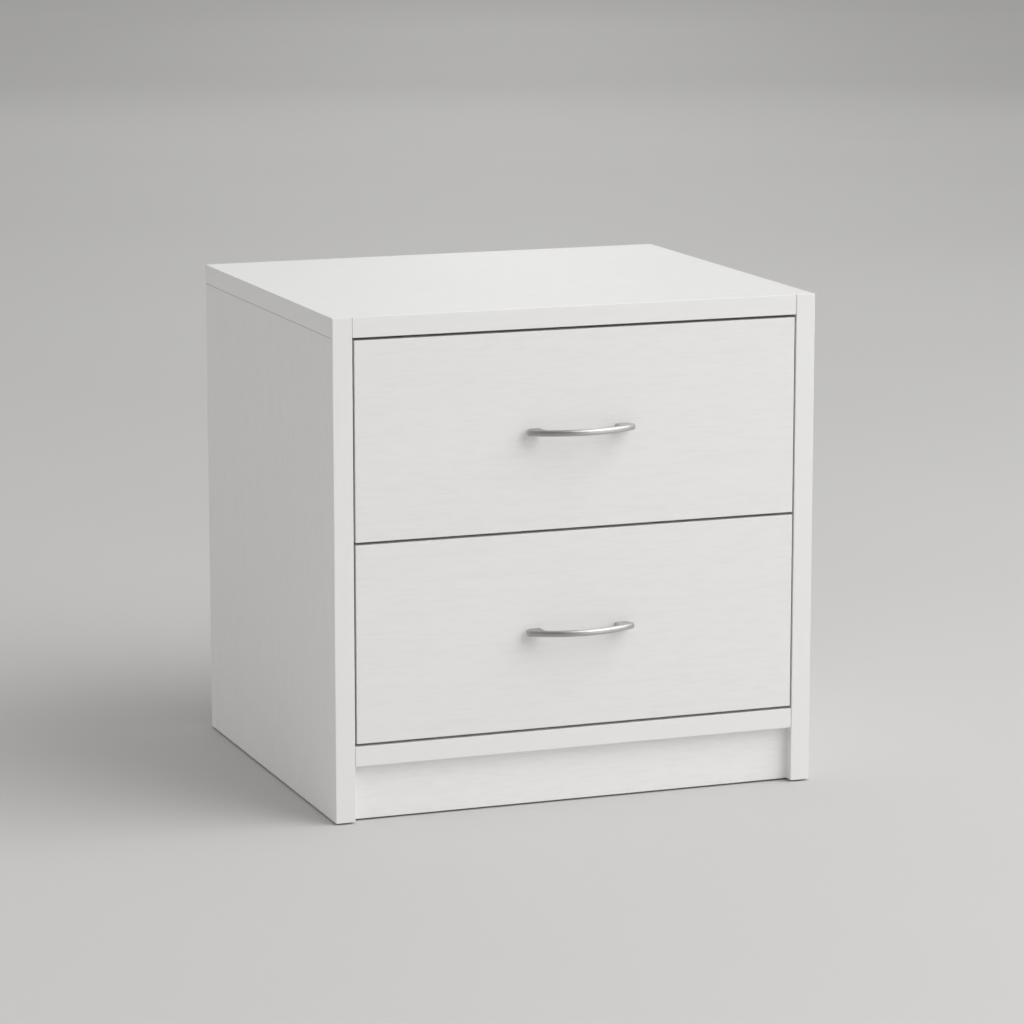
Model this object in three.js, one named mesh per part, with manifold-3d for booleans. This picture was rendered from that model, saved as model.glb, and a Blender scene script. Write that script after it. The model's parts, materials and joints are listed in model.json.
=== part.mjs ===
// Nightstand with two inset drawers, built from 18 mm melamine boards.
// Units are millimetres, +Z is up, +X is to the right of someone facing it, and the front faces -Y.
// The origin is on the floor, under the centre of the whole piece, handles included.
//
// Construction: the top lies on the two sides, the bottom and the plinth board stand between them,
// and each visible front edge carries a thin edge strip. The strips of the sides run the full height.
// Each drawer hangs on a pair of roller slides: a C-profile with a front roller on the cabinet side,
// and a Z-profile with a rear roller under the drawer side.
//
// Boards that touch share a plane on the quarter-millimetre grid. A piece that sits in a bore, a
// pocket or a groove keeps FIT_GAP, or a quarter of a millimetre, of air around it.

import * as THREE from 'three';
import { mergeVertices } from 'three/addons/utils/BufferGeometryUtils.js';
import Module from 'manifold-3d';

// ---------------------------------------------------------------------------------------------
// Driving dimensions
// ---------------------------------------------------------------------------------------------

const WIDTH = 455;
const HEIGHT = 450;
const BODY_DEPTH = 388; // drawer fronts to the back edges of the sides
const HANDLE_REACH = 24; // how far a handle stands out of its drawer front

const BOARD = 18;
const EDGE_STRIP = 2;
const HARDBOARD = 3;

const GLIDE_RADIUS = 8;
const GLIDE_THICKNESS = 1.5;
const GLIDE_EDGE = 0.5; // chamfer round the sole
const GLIDE_NAIL_RADIUS = 1;
const GLIDE_NAIL_LENGTH = 10;
const GLIDE_FRONT_INSET = 22; // glide centres behind the front plane
const GLIDE_BACK_INSET = 20; // glide centres ahead of the back edges
const PLINTH_HEIGHT = 50;
const PLINTH_RECESS = 10; // behind the front plane
const FRONT_GAP = 2.5; // above, between and below the drawer fronts
const FRONT_SIDE_GAP = 1.75; // beside the drawer fronts

const GROOVE_WIDTH = 3.5;
const BACK_GROOVE_DEPTH = 7;
const BACK_INSET = 10; // from the back edges of the sides to the groove
const GROOVE_AIR = 0.25;
const FIT_GAP = 0.3;
const OVERCUT = 1; // how far a cutter reaches past the face that it starts from

const CAM_RADIUS = 7.5;
const CAM_DEPTH = 12.5;
const CAM_SETBACK = 34; // cam centre to the joint plane
const BOLT_RADIUS = 3;
const BOLT_BITE = 11; // depth of the bolt in the neighbouring board
const DOWEL_RADIUS = 4;
const DOWEL_LENGTH = 30;
const DOWEL_BITE = 11;
const FASTENER_FRONT_INSET = 60; // front fittings behind the front plane
const FASTENER_BACK_INSET = 60; // back fittings ahead of the back edges

const BOX_BOARD = 12;
const BOX_HEIGHT = 125;
const BOX_DEPTH = 350; // behind the drawer front
const BOX_LIFT = 13; // lower edge of the drawer sides above the lower edge of the front
const BOX_GROOVE_LIFT = 10; // bottom groove above the lower edge of the drawer sides
const BOX_GROOVE_DEPTH = 5;

const SLIDE_ROOM = 12.5; // between a cabinet side and a drawer side
const SLIDE_LIFT = 10; // slides above the lower edge of the drawer front
const SLIDE_HEIGHT = 26;
const SLIDE_LENGTH = 350;
const SLIDE_STEEL = 1;
const SLIDE_SETBACK = 2; // cabinet slides behind the back of the drawer front
const CABINET_FLANGE = 11;
const DRAWER_PROFILE_INSET = 2; // outer edge of the drawer profile's rail, from the cabinet side
const ROLLER_RADIUS = 10.75;
const ROLLER_BORE = 3.1;
const ROLLER_WIDTH = 6;
const ROLLER_CHAMFER = 0.5;
const AXLE_RADIUS = 3;
const AXLE_HEAD_RADIUS = 4;
const AXLE_HEIGHT = 12; // above the underside of the slide
const AXLE_INSET = 15; // from the end of the profile
const DRAWER_TRAVEL = 260;
const SLIDE_SCREW_RADIUS = 2.5;
const SLIDE_SCREW_PLACES = [37, 133, 293]; // behind the front end of a slide

const HANDLE_LENGTH = 102;
const HANDLE_HOLE_PITCH = 89;
const HANDLE_BOW = 15.5; // rise of the outer arc over its ends
const HANDLE_BAR = 5.5; // thickness of the bar, both ways
const HANDLE_FOOT = 16; // from the end of the bar to the inner face of its foot
const HANDLE_TAPER = 3; // outer face of a foot, from the end of the bar to the drawer front
const HANDLE_BEVEL = 0.75;
const HANDLE_THREAD_DEPTH = 8;
const HANDLE_SCREW_RADIUS = 2;
const HANDLE_SCREW_PLAY = 1; // from the screw's tip to the bottom of its thread
const SCREW_HEAD_RADIUS = 4;
const SCREW_HEAD_HEIGHT = 2.5;

// ---------------------------------------------------------------------------------------------
// Derived planes
// ---------------------------------------------------------------------------------------------

const X_OUT = WIDTH / 2;
const X_IN = X_OUT - BOARD;
const X_MID = X_OUT - BOARD / 2;

const Y_BACK = (BODY_DEPTH + HANDLE_REACH) / 2;
const Y_FRONT = Y_BACK - BODY_DEPTH;
const Y_BOARDS = Y_FRONT + EDGE_STRIP;
const Y_GROOVE = Y_BACK - BACK_INSET - GROOVE_WIDTH;
const Y_HARDBOARD = Y_GROOVE + GROOVE_AIR;
const Y_CENTRE = (Y_FRONT + Y_BACK) / 2;
const Y_PLINTH = Y_FRONT + PLINTH_RECESS;
const Y_FASTENERS = [
  { place: 'front', y: Y_FRONT + FASTENER_FRONT_INSET },
  { place: 'back', y: Y_BACK - FASTENER_BACK_INSET },
];

const Z_SOLE = GLIDE_THICKNESS;
const Z_BOTTOM = Z_SOLE + PLINTH_HEIGHT;
const Z_BOTTOM_MID = Z_BOTTOM + BOARD / 2;
const Z_FLOOR = Z_BOTTOM + BOARD;
const Z_TOP = HEIGHT - BOARD;

const FRONT_HEIGHT = (Z_TOP - Z_FLOOR - 3 * FRONT_GAP) / 2;
const FRONT_HALF_WIDTH = X_IN - FRONT_SIDE_GAP;
const Y_FRONT_BACK = Y_FRONT + BOARD;
const Y_BOX_BACK = Y_FRONT_BACK + BOX_DEPTH;
const X_BOX_OUT = X_IN - SLIDE_ROOM;
const X_BOX_IN = X_BOX_OUT - BOX_BOARD;

const SIDES = [
  { side: 'left', sign: -1 },
  { side: 'right', sign: 1 },
];
const DRAWERS = [
  { level: 'lower', z: Z_FLOOR + FRONT_GAP },
  { level: 'upper', z: Z_FLOOR + 2 * FRONT_GAP + FRONT_HEIGHT },
];

// Sides of the polygons that stand for circles
const SMALL_ROUND = 12;
const ROUND = 16;
const RUNNING_ROUND = 24;

// ---------------------------------------------------------------------------------------------
// Materials
// ---------------------------------------------------------------------------------------------

/** The MeshStandardMaterial of one piece. */
function finish(color, roughness, metalness) {
  return () => new THREE.MeshStandardMaterial({ color, roughness, metalness });
}

const whiteMelamine = finish(0xeceae7, 0.45, 0);
const whiteEdging = finish(0xedebe8, 0.4, 0);
const whiteHardboard = finish(0xe6e4e0, 0.55, 0);
const whiteFoil = finish(0xe4e2de, 0.5, 0);
const brushedNickel = finish(0xb4b2ae, 0.3, 1);
const zincPlate = finish(0xc2c3c4, 0.35, 1);
const whiteEpoxy = finish(0xe8e8e6, 0.35, 0.1);
const nylon = finish(0xdfddd6, 0.5, 0);
const glidePlastic = finish(0xd8d6d0, 0.6, 0);
const beech = finish(0xcfa878, 0.7, 0);

// ---------------------------------------------------------------------------------------------
// Solids
// ---------------------------------------------------------------------------------------------

const wasm = await Module();
wasm.setup();

/** A closed geometry as a solid that can be joined and cut. */
function solidOf(geometry) {
  geometry.deleteAttribute('normal');
  geometry.deleteAttribute('uv');
  const merged = mergeVertices(geometry);
  return new wasm.Manifold(new wasm.Mesh({
    numProp: 3,
    vertProperties: merged.attributes.position.array,
    triVerts: Uint32Array.from(merged.index.array),
  }));
}

/** A solid as a flat-shaded geometry, moved so that a given point becomes its origin. */
function geometryOf(solid, origin) {
  const { vertProperties, triVerts } = solid.getMesh();
  const indexed = new THREE.BufferGeometry();
  indexed.setAttribute('position', new THREE.BufferAttribute(vertProperties, 3));
  indexed.setIndex(new THREE.BufferAttribute(triVerts, 1));
  indexed.translate(-origin.x, -origin.y, -origin.z);
  const geometry = indexed.toNonIndexed();
  geometry.computeVertexNormals();
  return geometry;
}

/** A block between two x, two y and two z planes, each pair in either order. */
function block([xa, xb], [ya, yb], [za, zb]) {
  const geometry = new THREE.BoxGeometry(Math.abs(xb - xa), Math.abs(yb - ya), Math.abs(zb - za));
  geometry.translate((xa + xb) / 2, (ya + yb) / 2, (za + zb) / 2);
  return solidOf(geometry);
}

/** A round rod between two points. */
function rod(radius, from, to, sides) {
  const along = to.clone().sub(from);
  const geometry = new THREE.CylinderGeometry(radius, radius, along.length(), sides);
  const turn = new THREE.Quaternion().setFromUnitVectors(
    new THREE.Vector3(0, 1, 0),
    along.normalize(),
  );
  geometry.applyQuaternion(turn);
  const middle = from.clone().add(to).divideScalar(2);
  geometry.translate(middle.x, middle.y, middle.z);
  return solidOf(geometry);
}

/** A point. */
function at(x, y, z) {
  return new THREE.Vector3(x, y, z);
}

const UP = at(0, 0, 1);

/** The union of several solids. */
function join(solids) {
  return solids.reduce((whole, next) => whole.add(next));
}

/** Adds a named mesh to a group; the mesh's own origin is the centre of its solid. */
function addPiece(group, name, material, solid) {
  const { min, max } = solid.boundingBox();
  const centre = at(...min.map((low, axis) => (low + max[axis]) / 2));
  const mesh = new THREE.Mesh(geometryOf(solid, centre), material());
  mesh.name = name;
  mesh.position.copy(centre);
  group.add(mesh);
}

/** A profile of [radius, height] points turned about an axis, standing at a point along a direction. */
function addTurned(group, name, material, profile, point, direction, segments) {
  const outline = profile.map(([radius, height]) => new THREE.Vector2(radius, height));
  const mesh = new THREE.Mesh(new THREE.LatheGeometry(outline, segments), material());
  mesh.name = name;
  mesh.position.copy(point);
  mesh.quaternion.setFromUnitVectors(at(0, 1, 0), direction);
  group.add(mesh);
}

// ---------------------------------------------------------------------------------------------
// Fasteners of the carcass
// ---------------------------------------------------------------------------------------------

/**
 * A cam with its connecting bolt. The cam starts on a board's face at camFace and goes inwards;
 * the bolt runs from the cam's axis, at half the board's thickness, to tip.
 */
function camFitting({ camFace, inwards, tip }, gap = 0) {
  const mouth = camFace.clone().addScaledVector(inwards, gap > 0 ? -OVERCUT : 0);
  const floor = camFace.clone().addScaledVector(inwards, CAM_DEPTH + gap);
  const boltStart = camFace.clone().addScaledVector(inwards, BOARD / 2);
  const along = tip.clone().sub(boltStart).normalize();
  const boltEnd = tip.clone().addScaledVector(along, gap);
  const cam = rod(CAM_RADIUS + gap, mouth, floor, ROUND);
  return cam.add(rod(BOLT_RADIUS + gap, boltStart, boltEnd, SMALL_ROUND));
}

/** A dowel, or with a gap the bore around it. */
function dowelPin({ from, to }, gap = 0) {
  const reach = to.clone().sub(from).normalize().multiplyScalar(gap);
  return rod(DOWEL_RADIUS + gap, from.clone().sub(reach), to.clone().add(reach), SMALL_ROUND);
}

const camFittings = [];
const dowels = [];
for (const { side, sign } of SIDES) {
  for (const { place, y } of Y_FASTENERS) {
    camFittings.push({
      name: `cam_fitting_top_${place}_${side}`,
      camFace: at(sign * X_IN, y, Z_TOP - CAM_SETBACK),
      inwards: at(sign, 0, 0),
      tip: at(sign * X_MID, y, Z_TOP + BOLT_BITE),
    });
    camFittings.push({
      name: `cam_fitting_bottom_${place}_${side}`,
      camFace: at(sign * (X_IN - CAM_SETBACK), y, Z_BOTTOM),
      inwards: UP,
      tip: at(sign * (X_IN + BOLT_BITE), y, Z_BOTTOM_MID),
    });
  }
  dowels.push({
    name: `dowel_top_${side}`,
    from: at(sign * X_MID, Y_CENTRE, Z_TOP + DOWEL_BITE - DOWEL_LENGTH),
    to: at(sign * X_MID, Y_CENTRE, Z_TOP + DOWEL_BITE),
  });
  const sidewaysDowels = [
    { name: `dowel_bottom_${side}`, y: Y_CENTRE, z: Z_BOTTOM_MID },
    { name: `dowel_plinth_${side}`, y: Y_PLINTH + BOARD / 2, z: Z_SOLE + PLINTH_HEIGHT / 2 },
  ];
  for (const { name, y, z } of sidewaysDowels) {
    dowels.push({
      name,
      from: at(sign * (X_IN + DOWEL_BITE - DOWEL_LENGTH), y, z),
      to: at(sign * (X_IN + DOWEL_BITE), y, z),
    });
  }
}

const fastenerBores = join([
  ...camFittings.map((fitting) => camFitting(fitting, FIT_GAP)),
  ...dowels.map((dowel) => dowelPin(dowel, FIT_GAP)),
]);

function addFasteners(group) {
  for (const fitting of camFittings) {
    addPiece(group, fitting.name, zincPlate, camFitting(fitting));
  }
  for (const dowel of dowels) {
    addPiece(group, dowel.name, beech, dowelPin(dowel));
  }
}

// ---------------------------------------------------------------------------------------------
// Glides: plastic discs with a nail
// ---------------------------------------------------------------------------------------------

const GLIDE_PLACES = [
  { place: 'front', y: Y_FRONT + GLIDE_FRONT_INSET },
  { place: 'back', y: Y_BACK - GLIDE_BACK_INSET },
];

function glideBore(sign) {
  const bores = GLIDE_PLACES.map(({ y }) => rod(
    GLIDE_NAIL_RADIUS + FIT_GAP,
    at(sign * X_MID, y, Z_SOLE - OVERCUT),
    at(sign * X_MID, y, Z_SOLE + GLIDE_NAIL_LENGTH + FIT_GAP),
    SMALL_ROUND,
  ));
  return join(bores);
}

function addGlides(group) {
  const profile = [
    [0, 0],
    [GLIDE_RADIUS - GLIDE_EDGE, 0],
    [GLIDE_RADIUS, GLIDE_EDGE],
    [GLIDE_RADIUS, GLIDE_THICKNESS],
    [GLIDE_NAIL_RADIUS, GLIDE_THICKNESS],
    [GLIDE_NAIL_RADIUS, Z_SOLE + GLIDE_NAIL_LENGTH - GLIDE_NAIL_RADIUS],
    [0, Z_SOLE + GLIDE_NAIL_LENGTH],
  ];
  for (const { side, sign } of SIDES) {
    for (const { place, y } of GLIDE_PLACES) {
      const point = at(sign * X_MID, y, 0);
      addTurned(group, `glide_${place}_${side}`, glidePlastic, profile, point, UP, ROUND);
    }
  }
}

// ---------------------------------------------------------------------------------------------
// Carcass boards
// ---------------------------------------------------------------------------------------------

function sidePanel(sign) {
  const panel = block([sign * X_IN, sign * X_OUT], [Y_BOARDS, Y_BACK], [Z_SOLE, Z_TOP]);
  const groove = block(
    [sign * (X_IN - OVERCUT), sign * (X_IN + BACK_GROOVE_DEPTH)],
    [Y_GROOVE, Y_GROOVE + GROOVE_WIDTH],
    [Z_SOLE - OVERCUT, Z_TOP + OVERCUT],
  );
  return panel.subtract(groove).subtract(fastenerBores).subtract(glideBore(sign));
}

function topPanel() {
  const grooveEnd = X_IN + BACK_GROOVE_DEPTH;
  const panel = block([-X_OUT, X_OUT], [Y_BOARDS, Y_BACK], [Z_TOP, HEIGHT]);
  const groove = block(
    [-grooveEnd, grooveEnd],
    [Y_GROOVE, Y_GROOVE + GROOVE_WIDTH],
    [Z_TOP - OVERCUT, Z_TOP + BACK_GROOVE_DEPTH],
  );
  return panel.subtract(groove).subtract(fastenerBores);
}

function addCarcassBoards(group) {
  const fromSideToSide = [-X_IN, X_IN];
  const bottom = block(fromSideToSide, [Y_BOARDS, Y_GROOVE], [Z_BOTTOM, Z_FLOOR]);
  const plinth = block(fromSideToSide, [Y_PLINTH, Y_PLINTH + BOARD], [Z_SOLE, Z_BOTTOM]);
  const backHalfWidth = X_IN + BACK_GROOVE_DEPTH - GROOVE_AIR;
  const back = block(
    [-backHalfWidth, backHalfWidth],
    [Y_HARDBOARD, Y_HARDBOARD + HARDBOARD],
    [Z_BOTTOM, Z_TOP + BACK_GROOVE_DEPTH - GROOVE_AIR],
  );
  addPiece(group, 'top_panel', whiteMelamine, topPanel());
  for (const { side, sign } of SIDES) {
    addPiece(group, `side_panel_${side}`, whiteMelamine, sidePanel(sign));
  }
  addPiece(group, 'bottom_panel', whiteMelamine, bottom.subtract(fastenerBores));
  addPiece(group, 'plinth_board', whiteMelamine, plinth.subtract(fastenerBores));
  addPiece(group, 'back_panel', whiteHardboard, back);
}

function addEdgeStrips(group) {
  const thickness = [Y_FRONT, Y_BOARDS];
  for (const { side, sign } of SIDES) {
    const strip = block([sign * X_IN, sign * X_OUT], thickness, [Z_SOLE, HEIGHT]);
    addPiece(group, `${side}_edge_strip`, whiteEdging, strip);
  }
  const top = block([-X_IN, X_IN], thickness, [Z_TOP, HEIGHT]);
  const bottom = block([-X_IN, X_IN], thickness, [Z_BOTTOM, Z_FLOOR]);
  addPiece(group, 'top_edge_strip', whiteEdging, top);
  addPiece(group, 'bottom_edge_strip', whiteEdging, bottom);
}

// ---------------------------------------------------------------------------------------------
// Roller slides. Heights are above the underside of the slide, widths inwards from the cabinet side.
// ---------------------------------------------------------------------------------------------

const Y_SLIDE_FRONT = Y_FRONT_BACK + SLIDE_SETBACK;
const Y_CABINET_ROLLER = Y_SLIDE_FRONT + AXLE_INSET;
const Y_DRAWER_ROLLER = Y_BOX_BACK - AXLE_INSET;
const CABINET_ROLLER_START = 3;
const DRAWER_ROLLER_START = 3.5;
const AXLE_HEAD = 0.75;
const AXLE_PLAY = 0.25; // between an axle head and its roller
const STOP_HEIGHT = 3;
const STOP_AHEAD = 8; // where the stop meets the drawer roller, ahead of its axis
const STOP_LENGTH = 5;

/** A block of a slide: inwards from the cabinet side, along Y, and up from its underside. */
function slideBlock(sign, [inFrom, inTo], yRange, zRange) {
  return block([sign * (X_IN - inFrom), sign * (X_IN - inTo)], yRange, zRange);
}

/** A rod across a slide, from one inward distance to another. */
function slideRod(sign, radius, [inFrom, inTo], y, z, sides) {
  const from = at(sign * (X_IN - inFrom), y, z);
  const to = at(sign * (X_IN - inTo), y, z);
  return rod(radius, from, to, sides);
}

/** Screw holes through the web of a profile. */
function slideScrewHoles(sign, inRange, yStart) {
  const holes = SLIDE_SCREW_PLACES.map((behind) => slideRod(
    sign, SLIDE_SCREW_RADIUS, inRange, yStart + behind, SLIDE_HEIGHT / 2, SMALL_ROUND,
  ));
  return join(holes);
}

function cabinetSlide(sign) {
  const yRange = [Y_SLIDE_FRONT, Y_SLIDE_FRONT + SLIDE_LENGTH];
  const stopEnd = Y_DRAWER_ROLLER - DRAWER_TRAVEL - STOP_AHEAD;
  const rollerEnd = CABINET_ROLLER_START + ROLLER_WIDTH;
  const headRange = [rollerEnd + AXLE_PLAY, rollerEnd + AXLE_PLAY + AXLE_HEAD];
  const profile = join([
    slideBlock(sign, [0, SLIDE_STEEL], yRange, [0, SLIDE_HEIGHT]),
    slideBlock(sign, [0, CABINET_FLANGE], yRange, [0, SLIDE_STEEL]),
    slideBlock(sign, [0, CABINET_FLANGE], yRange, [SLIDE_HEIGHT - SLIDE_STEEL, SLIDE_HEIGHT]),
    slideBlock(
      sign,
      [DRAWER_ROLLER_START, CABINET_FLANGE],
      [stopEnd - STOP_LENGTH, stopEnd],
      [SLIDE_STEEL / 2, SLIDE_STEEL + STOP_HEIGHT],
    ),
    slideRod(
      sign, AXLE_RADIUS, [SLIDE_STEEL / 2, headRange[1]], Y_CABINET_ROLLER, AXLE_HEIGHT, RUNNING_ROUND,
    ),
    slideRod(sign, AXLE_HEAD_RADIUS, headRange, Y_CABINET_ROLLER, AXLE_HEIGHT, RUNNING_ROUND),
  ]);
  return profile.subtract(slideScrewHoles(sign, [-OVERCUT, 2 * SLIDE_STEEL], Y_SLIDE_FRONT));
}

function drawerSlide(sign) {
  const yRange = [Y_FRONT_BACK, Y_BOX_BACK];
  const webRange = [SLIDE_ROOM - SLIDE_STEEL, SLIDE_ROOM];
  const railTop = SLIDE_HEIGHT - 2 * SLIDE_STEEL;
  const footRange = [BOX_LIFT - SLIDE_LIFT - SLIDE_STEEL, BOX_LIFT - SLIDE_LIFT];
  const headRange = [
    DRAWER_ROLLER_START - AXLE_PLAY - AXLE_HEAD,
    DRAWER_ROLLER_START - AXLE_PLAY,
  ];
  const profile = join([
    slideBlock(sign, [DRAWER_PROFILE_INSET, SLIDE_ROOM], yRange, [railTop - SLIDE_STEEL, railTop]),
    slideBlock(sign, webRange, yRange, [footRange[0], railTop]),
    slideBlock(sign, [webRange[0], SLIDE_ROOM + BOX_BOARD], yRange, footRange),
    slideRod(
      sign,
      AXLE_RADIUS,
      [headRange[0], SLIDE_ROOM - SLIDE_STEEL / 2],
      Y_DRAWER_ROLLER,
      AXLE_HEIGHT,
      RUNNING_ROUND,
    ),
    slideRod(sign, AXLE_HEAD_RADIUS, headRange, Y_DRAWER_ROLLER, AXLE_HEIGHT, RUNNING_ROUND),
  ]);
  const holeRange = [SLIDE_ROOM - 2 * SLIDE_STEEL, SLIDE_ROOM + OVERCUT];
  return profile.subtract(slideScrewHoles(sign, holeRange, Y_FRONT_BACK));
}

/** A nylon roller about an axis along X, starting at an inward distance from the cabinet side. */
function addRoller(group, name, sign, inFrom, y) {
  const profile = [
    [ROLLER_BORE, 0],
    [ROLLER_RADIUS - ROLLER_CHAMFER, 0],
    [ROLLER_RADIUS, ROLLER_CHAMFER],
    [ROLLER_RADIUS, ROLLER_WIDTH - ROLLER_CHAMFER],
    [ROLLER_RADIUS - ROLLER_CHAMFER, ROLLER_WIDTH],
    [ROLLER_BORE, ROLLER_WIDTH],
    [ROLLER_BORE, 0],
  ];
  const start = at(sign * (X_IN - inFrom), y, AXLE_HEIGHT);
  addTurned(group, name, nylon, profile, start, at(-sign, 0, 0), RUNNING_ROUND);
}

/** Both cabinet slides of one drawer, in a group at the height of the slides. */
function cabinetSlides({ level, z }) {
  const group = new THREE.Group();
  group.position.z = z + SLIDE_LIFT;
  for (const { side, sign } of SIDES) {
    addPiece(group, `${level}_cabinet_slide_${side}`, whiteEpoxy, cabinetSlide(sign));
    const rollerName = `${level}_cabinet_roller_${side}`;
    addRoller(group, rollerName, sign, CABINET_ROLLER_START, Y_CABINET_ROLLER);
  }
  return group;
}

/** Both drawer slides of one drawer, in a group at the height of the slides. */
function drawerSlides(level) {
  const group = new THREE.Group();
  group.position.z = SLIDE_LIFT;
  for (const { side, sign } of SIDES) {
    addPiece(group, `${level}_drawer_slide_${side}`, whiteEpoxy, drawerSlide(sign));
    const rollerName = `${level}_drawer_roller_${side}`;
    addRoller(group, rollerName, sign, DRAWER_ROLLER_START, Y_DRAWER_ROLLER);
  }
  return group;
}

// ---------------------------------------------------------------------------------------------
// Bow handle and its screws. Heights are above the lower edge of the drawer front.
// ---------------------------------------------------------------------------------------------

const Z_HANDLE = FRONT_HEIGHT / 2;
const HANDLE_HOLES = SIDES.map(({ side, sign }) => ({ side, x: sign * HANDLE_HOLE_PITCH / 2 }));

/** The handle from above: two concentric arcs, and a foot at each end down to the drawer front. */
function handleOutline() {
  const half = HANDLE_LENGTH / 2;
  const outer = (half ** 2 + HANDLE_BOW ** 2) / (2 * HANDLE_BOW);
  const inner = outer - HANDLE_BAR;
  const centreY = Y_FRONT - HANDLE_REACH + outer;
  const outerEnd = Math.asin(half / outer);
  const innerEnd = Math.asin((half - HANDLE_FOOT) / inner);
  const down = -Math.PI / 2;
  const outline = new THREE.Shape();
  outline.moveTo(HANDLE_TAPER - half, Y_FRONT);
  outline.absarc(0, centreY, outer, down - outerEnd, down + outerEnd, false);
  outline.lineTo(half - HANDLE_TAPER, Y_FRONT);
  outline.lineTo(half - HANDLE_FOOT, Y_FRONT);
  outline.absarc(0, centreY, inner, down + innerEnd, down - innerEnd, true);
  outline.lineTo(HANDLE_FOOT - half, Y_FRONT);
  outline.closePath();
  return outline;
}

function handleSolid() {
  const geometry = new THREE.ExtrudeGeometry(handleOutline(), {
    depth: HANDLE_BAR - 2 * HANDLE_BEVEL,
    curveSegments: 10,
    bevelThickness: HANDLE_BEVEL,
    bevelSize: HANDLE_BEVEL,
    bevelOffset: -HANDLE_BEVEL,
    bevelSegments: 1,
  });
  geometry.translate(0, 0, Z_HANDLE - HANDLE_BAR / 2 + HANDLE_BEVEL);
  const threads = HANDLE_HOLES.map(({ x }) => rod(
    HANDLE_SCREW_RADIUS + FIT_GAP,
    at(x, Y_FRONT + OVERCUT, Z_HANDLE),
    at(x, Y_FRONT - HANDLE_THREAD_DEPTH, Z_HANDLE),
    SMALL_ROUND,
  ));
  return solidOf(geometry).subtract(join(threads));
}

function addHandle(group, level) {
  addPiece(group, `${level}_handle`, brushedNickel, handleSolid());
  const tip = BOARD + HANDLE_THREAD_DEPTH - HANDLE_SCREW_PLAY;
  const profile = [
    [0, -SCREW_HEAD_HEIGHT],
    [0.75 * SCREW_HEAD_RADIUS, -SCREW_HEAD_HEIGHT],
    [SCREW_HEAD_RADIUS, -SCREW_HEAD_HEIGHT / 2],
    [SCREW_HEAD_RADIUS, 0],
    [HANDLE_SCREW_RADIUS, 0],
    [HANDLE_SCREW_RADIUS, tip],
    [0, tip],
  ];
  for (const { side, x } of HANDLE_HOLES) {
    const point = at(x, Y_FRONT_BACK, Z_HANDLE);
    const name = `${level}_handle_screw_${side}`;
    addTurned(group, name, zincPlate, profile, point, at(0, -1, 0), ROUND);
  }
}

// ---------------------------------------------------------------------------------------------
// Drawer: a front, and a box of two sides, a back and a hardboard bottom.
// Heights are above the lower edge of the drawer front.
// ---------------------------------------------------------------------------------------------

const BOX_TOP = BOX_LIFT + BOX_HEIGHT;
const BOX_GROOVE = BOX_LIFT + BOX_GROOVE_LIFT;
const BOX_GROOVE_RANGE = [BOX_GROOVE, BOX_GROOVE + GROOVE_WIDTH];

function drawerFront() {
  const board = block(
    [-FRONT_HALF_WIDTH, FRONT_HALF_WIDTH], [Y_FRONT, Y_FRONT_BACK], [0, FRONT_HEIGHT],
  );
  const grooveEnd = X_BOX_IN + BOX_GROOVE_DEPTH;
  const groove = block(
    [-grooveEnd, grooveEnd],
    [Y_FRONT_BACK - BOX_GROOVE_DEPTH, Y_FRONT_BACK + OVERCUT],
    BOX_GROOVE_RANGE,
  );
  const holes = HANDLE_HOLES.map(({ x }) => rod(
    HANDLE_SCREW_RADIUS + 2 * FIT_GAP,
    at(x, Y_FRONT - OVERCUT, Z_HANDLE),
    at(x, Y_FRONT_BACK + OVERCUT, Z_HANDLE),
    SMALL_ROUND,
  ));
  return board.subtract(groove).subtract(join(holes));
}

function drawerSide(sign) {
  const board = block(
    [sign * X_BOX_IN, sign * X_BOX_OUT], [Y_FRONT_BACK, Y_BOX_BACK], [BOX_LIFT, BOX_TOP],
  );
  const groove = block(
    [sign * (X_BOX_IN - OVERCUT), sign * (X_BOX_IN + BOX_GROOVE_DEPTH)],
    [Y_FRONT_BACK - OVERCUT, Y_BOX_BACK + OVERCUT],
    BOX_GROOVE_RANGE,
  );
  return board.subtract(groove);
}

function drawerBack() {
  return block(
    [-X_BOX_IN, X_BOX_IN], [Y_BOX_BACK - BOX_BOARD, Y_BOX_BACK], [BOX_GROOVE_RANGE[1], BOX_TOP],
  );
}

function drawerBottom() {
  const halfWidth = X_BOX_IN + BOX_GROOVE_DEPTH - GROOVE_AIR;
  return block(
    [-halfWidth, halfWidth],
    [Y_FRONT_BACK - BOX_GROOVE_DEPTH + GROOVE_AIR, Y_BOX_BACK - GROOVE_AIR],
    [BOX_GROOVE + GROOVE_AIR, BOX_GROOVE + GROOVE_AIR + HARDBOARD],
  );
}

/** One drawer with everything that travels with it, in a group at the height of its front. */
function drawer({ level, z }) {
  const group = new THREE.Group();
  group.position.z = z;
  addPiece(group, `${level}_drawer_front`, whiteMelamine, drawerFront());
  for (const { side, sign } of SIDES) {
    addPiece(group, `${level}_drawer_side_${side}`, whiteFoil, drawerSide(sign));
  }
  addPiece(group, `${level}_drawer_back`, whiteFoil, drawerBack());
  addPiece(group, `${level}_drawer_bottom`, whiteHardboard, drawerBottom());
  addHandle(group, level);
  group.add(drawerSlides(level));
  return group;
}

// ---------------------------------------------------------------------------------------------
// Assembly
// ---------------------------------------------------------------------------------------------

const nightstand = new THREE.Group();
const carcass = new THREE.Group();
addCarcassBoards(carcass);
addEdgeStrips(carcass);
addGlides(carcass);
addFasteners(carcass);
nightstand.add(carcass);
for (const each of DRAWERS) {
  nightstand.add(cabinetSlides(each), drawer(each));
}

export default nightstand;
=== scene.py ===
import json
import math

import bmesh
import bpy
from mathutils import Matrix, Vector


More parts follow.
